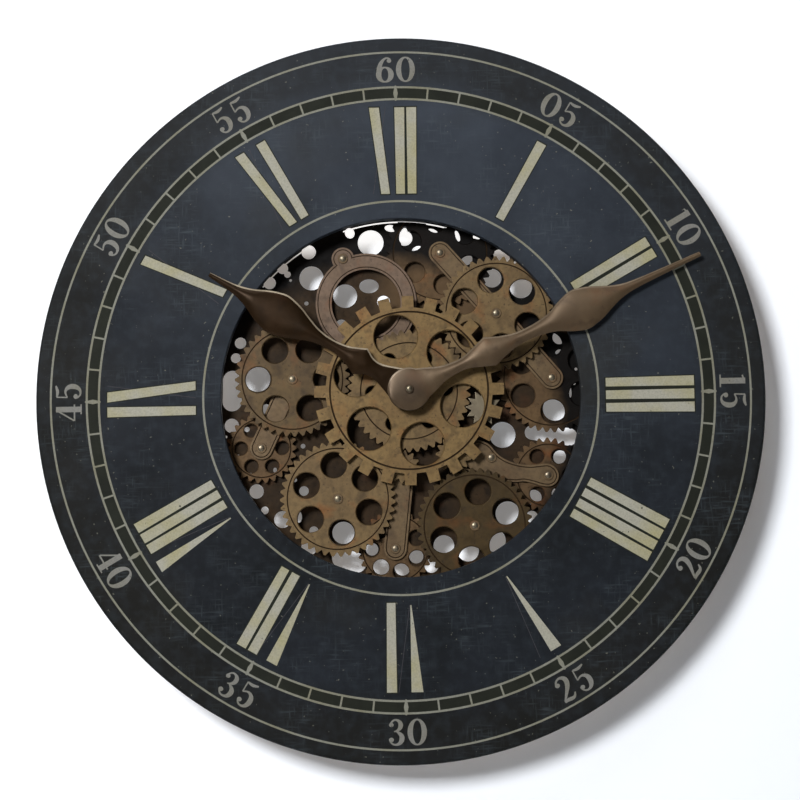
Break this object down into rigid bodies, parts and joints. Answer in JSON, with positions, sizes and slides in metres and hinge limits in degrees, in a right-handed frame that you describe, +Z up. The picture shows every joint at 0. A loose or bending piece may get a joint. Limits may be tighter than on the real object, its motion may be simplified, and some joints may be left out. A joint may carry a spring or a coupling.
{
  "type": "clock",
  "caption": "Round wall clock with a dark printed dial, an open middle showing a train of turning bronze wheels, leaf-shaped hands and a keyhole hanger.",
  "frame": {"origin": "centre of the dial, on the plane of the wall that the hanger and the bumpers rest on", "axes": "+Z up to the twelve, +X to the three, +Y into the wall; the dial faces -Y"},
  "size_m": [0.6, 0.0573, 0.6],
  "materials": {
    "dial_paint": "painted board, rubbed and scratched, printed in cream",
    "black_steel": "satin black paint",
    "bronze": "aged bronze paint, satin",
    "dark_bronze": "dark aged bronze paint, satin",
    "hand_bronze": "brown bronze paint, satin",
    "brass": "dull brass",
    "zinc_steel": "zinc plated",
    "cell_jacket": "plain printed jacket, satin",
    "black_plastic": "moulded, matt",
    "pine": "bare planed wood",
    "rubber": "moulded, matt"
  },
  "bodies": {
    "root": {"arm_bottom": "dark_bronze", "arm_lower_left": "dark_bronze", "arm_lower_right": "dark_bronze", "arm_upper_right": "dark_bronze", "back_plate": "black_steel", "bush": "brass", "bush_collar": "brass", "bush_nut": "brass", "dial_board": "dial_paint", "hanger_block": "pine", "hanger_screw_left": "zinc_steel", "hanger_screw_right": "zinc_steel", "idler_post_lower_left": "brass", "idler_post_lower_right": "brass", "keyhole_plate": "zinc_steel", "motor_case": "black_plastic", "motor_cell": "cell_jacket", "movement_case": "black_plastic", "movement_cell": "cell_jacket", "rear_wheel_bottom": "dark_bronze", "rear_wheel_lower_left": "dark_bronze", "rear_wheel_lower_right": "dark_bronze", "rear_wheel_right": "dark_bronze", "rear_wheel_top": "dark_bronze", "ring_bracket": "dark_bronze", "rivet_arm_pad": "brass", "rivet_bottom": "brass", "rivet_lower_left": "brass", "rivet_lower_right": "brass", "rivet_right": "brass", "rivet_ring_foot": "brass", "rivet_ring_lug": "brass", "rivet_top": "brass", "spacer_lower_left": "zinc_steel", "spacer_lower_right": "zinc_steel", "spacer_right": "zinc_steel", "spacer_upper_left": "zinc_steel", "wall_bumper_left": "rubber", "wall_bumper_right": "rubber", "wheel_post_left": "brass", "wheel_post_lower_left": "brass", "wheel_post_lower_right": "brass", "wheel_post_upper_right": "brass"},
    "minute_hand": {"minute_hand": "hand_bronze", "minute_arbor": "brass", "cap_nut": "brass"},
    "hour_hand": {"hour_hand": "hand_bronze", "hour_tube": "brass"},
    "setting_knob": {"setting_knob": "black_plastic"},
    "centre_train": {"centre_wheel": "bronze", "drive_wheel": "bronze", "centre_hub": "brass"},
    "left_wheel": {"side_wheel_left": "bronze"},
    "upper_right_wheel": {"side_wheel_upper_right": "bronze"},
    "lower_left_wheel": {"side_wheel_lower_left": "bronze"},
    "lower_right_wheel": {"side_wheel_lower_right": "bronze"},
    "lower_left_idler": {"idler_lower_left": "bronze"},
    "lower_right_idler": {"idler_lower_right": "bronze"},
    "motor_pinion": {"motor_pinion": "brass"}
  },
  "joints": [
    {"name": "minute_turn", "type": "hinge", "parent": "root", "child": "minute_hand", "pos_m": [0.0069, 0, 0.0056], "axis": [0, 1, 0], "continuous": true},
    {"name": "hour_turn", "type": "hinge", "parent": "root", "child": "hour_hand", "pos_m": [0.0069, 0, 0.0056], "axis": [0, 1, 0], "continuous": true},
    {"name": "knob_turn", "type": "hinge", "parent": "root", "child": "setting_knob", "pos_m": [0.0069, 0, 0.0196], "axis": [0, 1, 0], "continuous": true},
    {"name": "centre_turn", "type": "hinge", "parent": "root", "child": "centre_train", "pos_m": [0.0069, 0, 0.0056], "axis": [0, 1, 0], "continuous": true},
    {"name": "left_turn", "type": "hinge", "parent": "root", "child": "left_wheel", "pos_m": [-0.08945, 0, 0.01692], "axis": [0, 1, 0], "continuous": true},
    {"name": "upper_right_turn", "type": "hinge", "parent": "root", "child": "upper_right_wheel", "pos_m": [0.08034, 0, 0.06899], "axis": [0, 1, 0], "continuous": true},
    {"name": "lower_left_turn", "type": "hinge", "parent": "root", "child": "lower_left_wheel", "pos_m": [-0.0533, 0, -0.08264], "axis": [0, 1, 0], "continuous": true},
    {"name": "lower_right_turn", "type": "hinge", "parent": "root", "child": "lower_right_wheel", "pos_m": [0.05899, 0, -0.10662], "axis": [0, 1, 0], "continuous": true},
    {"name": "lower_left_idler_turn", "type": "hinge", "parent": "root", "child": "lower_left_idler", "pos_m": [0.00106, 0, -0.05735], "axis": [0, 1, 0], "continuous": true},
    {"name": "lower_right_idler_turn", "type": "hinge", "parent": "root", "child": "lower_right_idler", "pos_m": [0.04279, 0, -0.04776], "axis": [0, 1, 0], "continuous": true},
    {"name": "pinion_turn", "type": "hinge", "parent": "root", "child": "motor_pinion", "pos_m": [0.06824, 0, -0.00969], "axis": [0, 1, 0], "continuous": true}
  ],
  "couplings": [
    {"joint": "hour_turn", "follows": "minute_turn", "ratio": 0.083333},
    {"joint": "knob_turn", "follows": "minute_turn", "ratio": -3},
    {"joint": "left_turn", "follows": "centre_turn", "ratio": -1.0698},
    {"joint": "upper_right_turn", "follows": "centre_turn", "ratio": -1.0698},
    {"joint": "lower_left_turn", "follows": "centre_turn", "ratio": 1.0698},
    {"joint": "lower_right_turn", "follows": "centre_turn", "ratio": 1.0698},
    {"joint": "lower_left_idler_turn", "follows": "centre_turn", "ratio": -3.8333},
    {"joint": "lower_right_idler_turn", "follows": "centre_turn", "ratio": -3.5385},
    {"joint": "pinion_turn", "follows": "centre_turn", "ratio": -3.8333}
  ]
}
